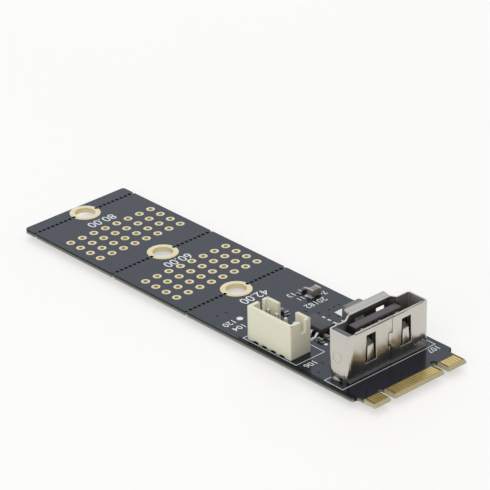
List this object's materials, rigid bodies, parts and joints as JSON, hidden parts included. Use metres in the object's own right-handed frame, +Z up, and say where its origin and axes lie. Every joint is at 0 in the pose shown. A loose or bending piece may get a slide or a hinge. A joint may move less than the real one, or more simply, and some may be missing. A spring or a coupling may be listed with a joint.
{
  "type": "sata ssd adapter",
  "caption": "Narrow card-edge adapter board that snaps to length, with an upright shielded drive socket and a small power header.",
  "frame": {"origin": "under the middle of the card, on the plane that the longest solder tails stand on", "axes": "+X across the card, +Y along the card away from the gold fingers, +Z up from the side that carries the sockets"},
  "size_m": [0.022, 0.0826, 0.0105],
  "materials": {
    "board": "satin black solder mask over pale laminate",
    "gold": "thin gold plating",
    "nickel": "bright nickel plating",
    "black_moulding": "fine matt",
    "ivory_moulding": "satin",
    "tinned_pin": "tinned",
    "tinned_lead": "tinned",
    "solder": "satin",
    "chip_moulding": "fine matt",
    "ferrite": "matt",
    "tan_ceramic": "satin",
    "black_ceramic": "satin"
  },
  "bodies": {
    "root": {"circuit_board": "board", "edge_contacts_top": "gold", "edge_contacts_bottom": "gold", "mounting_ring_42": "gold", "mounting_ring_60": "gold", "mounting_ring_80": "gold", "plated_holes_far": "gold", "plated_holes_near": "gold", "socket_shell": "nickel", "socket_insulator": "black_moulding", "socket_signal_contacts": "gold", "socket_power_contacts": "gold", "socket_solder": "solder", "header_housing": "ivory_moulding", "header_pins": "tinned_pin", "header_solder": "solder", "chip_body": "chip_moulding", "chip_leads": "tinned_lead", "inductor_core": "ferrite", "inductor_terminals": "solder", "power_capacitor_body": "tan_ceramic", "power_capacitor_caps": "solder", "resistor_body": "black_ceramic", "resistor_caps": "solder", "small_capacitor_body": "tan_ceramic", "small_capacitor_caps": "solder"}
  },
  "joints": []
}
